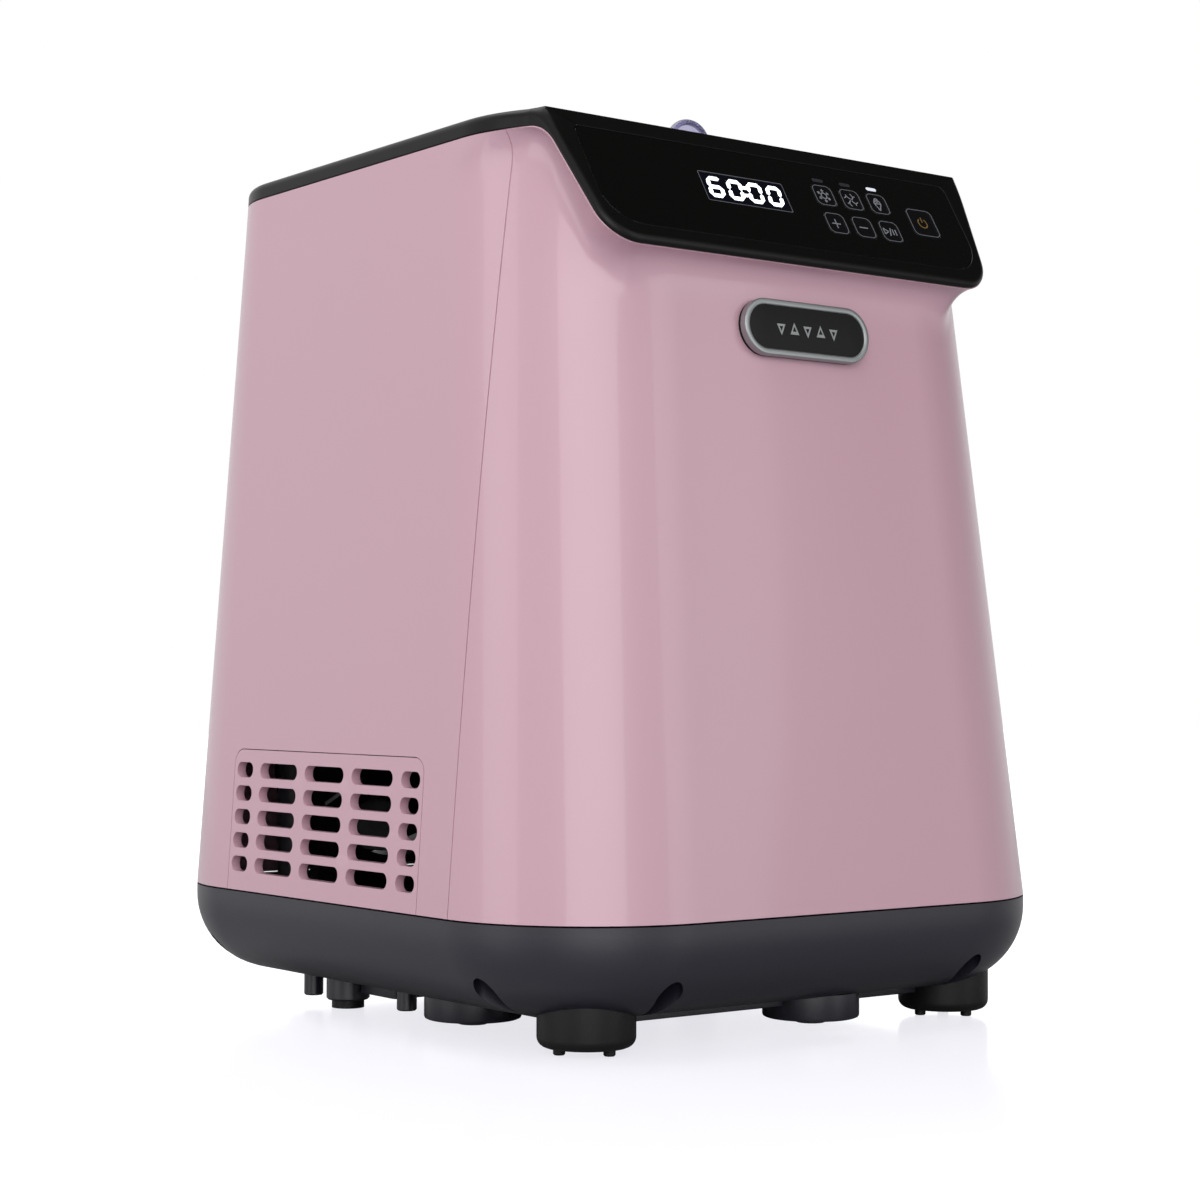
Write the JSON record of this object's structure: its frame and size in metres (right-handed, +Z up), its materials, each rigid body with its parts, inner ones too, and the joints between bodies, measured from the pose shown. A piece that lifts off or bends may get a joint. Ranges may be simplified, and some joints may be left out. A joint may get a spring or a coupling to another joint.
{
  "type": "ice cream maker",
  "caption": "Upright compressor ice cream maker with a tapered casing, sloping control panel, clear lid, lift-out bowl, geared paddle drive and a cooling circuit inside.",
  "frame": {"origin": "centre of the base's footprint, on the surface that it stands on", "axes": "+Z up, +Y towards the back with the fan guard, -Y towards the control slope, +X to the right seen from the front"},
  "size_m": [0.2436, 0.2692, 0.3259],
  "materials": {
    "casing_pink": "gloss",
    "tray_black": "fine matt texture",
    "bezel_black": "satin",
    "plate_black": "high gloss",
    "window": "clear dark",
    "display_body": "matt",
    "lamp": "diffusing",
    "circuit_board": "solder mask",
    "switch": "matt",
    "badge_black": "satin",
    "badge_silver": "satin",
    "bucket_metal": "satin",
    "copper": "drawn",
    "foam": "moulded",
    "rubber_black": "matt",
    "gearbox": "moulded",
    "motor_steel": "drawn",
    "bronze": "sintered",
    "compressor_paint": "semi gloss",
    "screw_steel": "plated",
    "fin_aluminium": "mill",
    "fan_plastic": "moulded",
    "part_yellow": "matt",
    "inlet_black": "moulded",
    "deck_steel": "galvanised",
    "lid_clear": "clear moulded plastic",
    "seal_silicone": "matt",
    "cap_clear": "clear moulded plastic",
    "bowl_metal": "anodised",
    "paddle_plastic": "moulded",
    "shaft_steel": "ground",
    "gear_acetal": "moulded",
    "pinion_brass": "cut",
    "key_black": "gloss"
  },
  "bodies": {
    "housing": {"base_tray": "tray_black", "inner_deck": "deck_steel", "deck_pillars": "gearbox", "front_shell": "casing_pink", "side_rear_shell": "casing_pink", "top_bezel": "bezel_black", "control_plate": "plate_black", "display_window": "window", "display_module": "display_body", "indicator_lamps": "lamp", "control_board": "circuit_board", "key_switches": "switch", "badge_base": "badge_black", "badge_ring": "badge_silver", "evaporator_bucket": "bucket_metal", "evaporator_coil": "copper", "foam_jacket": "foam", "bucket_gasket": "rubber_black", "gearbox_housing": "gearbox", "gearbox_cover": "gearbox", "gear_motor": "motor_steel", "shaft_bush": "bronze", "shaft_seal": "rubber_black", "compressor": "compressor_paint", "compressor_grommets": "rubber_black", "compressor_screws": "screw_steel", "condenser_fins": "fin_aluminium", "condenser_tubes": "copper", "fan_frame": "fan_plastic", "fan_guard": "bezel_black", "filter_drier": "copper", "suction_line": "copper", "discharge_line": "copper", "liquid_line": "copper", "capillary_tube": "copper", "power_board": "circuit_board", "board_parts": "part_yellow", "power_inlet": "inlet_black", "front_foot_left": "tray_black", "front_foot_right": "tray_black", "rear_foot_left": "rubber_black", "rear_foot_right": "rubber_black", "tray_screws": "screw_steel"},
    "lid": {"lid": "lid_clear", "lid_seal": "seal_silicone"},
    "cap": {"ingredient_cap": "cap_clear"},
    "bowl": {"bowl": "bowl_metal"},
    "paddle": {"paddle": "paddle_plastic"},
    "drive": {"drive_shaft": "shaft_steel", "drive_gear": "gear_acetal"},
    "pinion": {"motor_pinion": "pinion_brass"},
    "fan": {"fan_rotor": "fan_plastic"},
    "key_chill": {"key_chill": "key_black"},
    "key_mix": {"key_mix": "key_black"},
    "key_cone": {"key_cone": "key_black"},
    "key_plus": {"key_plus": "key_black"},
    "key_minus": {"key_minus": "key_black"},
    "key_start": {"key_start": "key_black"},
    "key_power": {"key_power": "key_black"}
  },
  "joints": [
    {"name": "lid_lift", "type": "slide", "parent": "housing", "child": "lid", "axis": [0, 0, 1], "range_m": [0, 0.24]},
    {"name": "cap_lift", "type": "slide", "parent": "lid", "child": "cap", "axis": [0, 0, 1], "range_m": [0, 0.04]},
    {"name": "bowl_lift", "type": "slide", "parent": "housing", "child": "bowl", "axis": [0, 0, 1], "range_m": [0, 0.12]},
    {"name": "paddle_spin", "type": "hinge", "parent": "bowl", "child": "paddle", "pos_m": [0, 0, 0.2], "axis": [0, 0, 1], "continuous": true},
    {"name": "drive_spin", "type": "hinge", "parent": "housing", "child": "drive", "pos_m": [0, 0, 0.14], "axis": [0, 0, 1], "continuous": true},
    {"name": "pinion_spin", "type": "hinge", "parent": "housing", "child": "pinion", "pos_m": [0.045, 0, 0.14], "axis": [0, 0, 1], "continuous": true},
    {"name": "fan_spin", "type": "hinge", "parent": "housing", "child": "fan", "pos_m": [-0.028, 0.11, 0.088], "axis": [0, 1, 0], "continuous": true},
    {"name": "key_chill_press", "type": "slide", "parent": "housing", "child": "key_chill", "axis": [0, 0.8572, -0.515], "range_m": [0, 0.0004], "stiffness_N_per_m": 600},
    {"name": "key_mix_press", "type": "slide", "parent": "housing", "child": "key_mix", "axis": [0, 0.8572, -0.515], "range_m": [0, 0.0004], "stiffness_N_per_m": 600},
    {"name": "key_cone_press", "type": "slide", "parent": "housing", "child": "key_cone", "axis": [0, 0.8572, -0.515], "range_m": [0, 0.0004], "stiffness_N_per_m": 600},
    {"name": "key_plus_press", "type": "slide", "parent": "housing", "child": "key_plus", "axis": [0, 0.8572, -0.515], "range_m": [0, 0.0004], "stiffness_N_per_m": 600},
    {"name": "key_minus_press", "type": "slide", "parent": "housing", "child": "key_minus", "axis": [0, 0.8572, -0.515], "range_m": [0, 0.0004], "stiffness_N_per_m": 600},
    {"name": "key_start_press", "type": "slide", "parent": "housing", "child": "key_start", "axis": [0, 0.8572, -0.515], "range_m": [0, 0.0004], "stiffness_N_per_m": 600},
    {"name": "key_power_press", "type": "slide", "parent": "housing", "child": "key_power", "axis": [0, 0.8572, -0.515], "range_m": [0, 0.0004], "stiffness_N_per_m": 600}
  ],
  "couplings": [
    {"joint": "bowl_lift", "follows": "lid_lift", "ratio": 0.5},
    {"joint": "paddle_spin", "follows": "drive_spin", "ratio": 1},
    {"joint": "pinion_spin", "follows": "drive_spin", "ratio": -4}
  ]
}
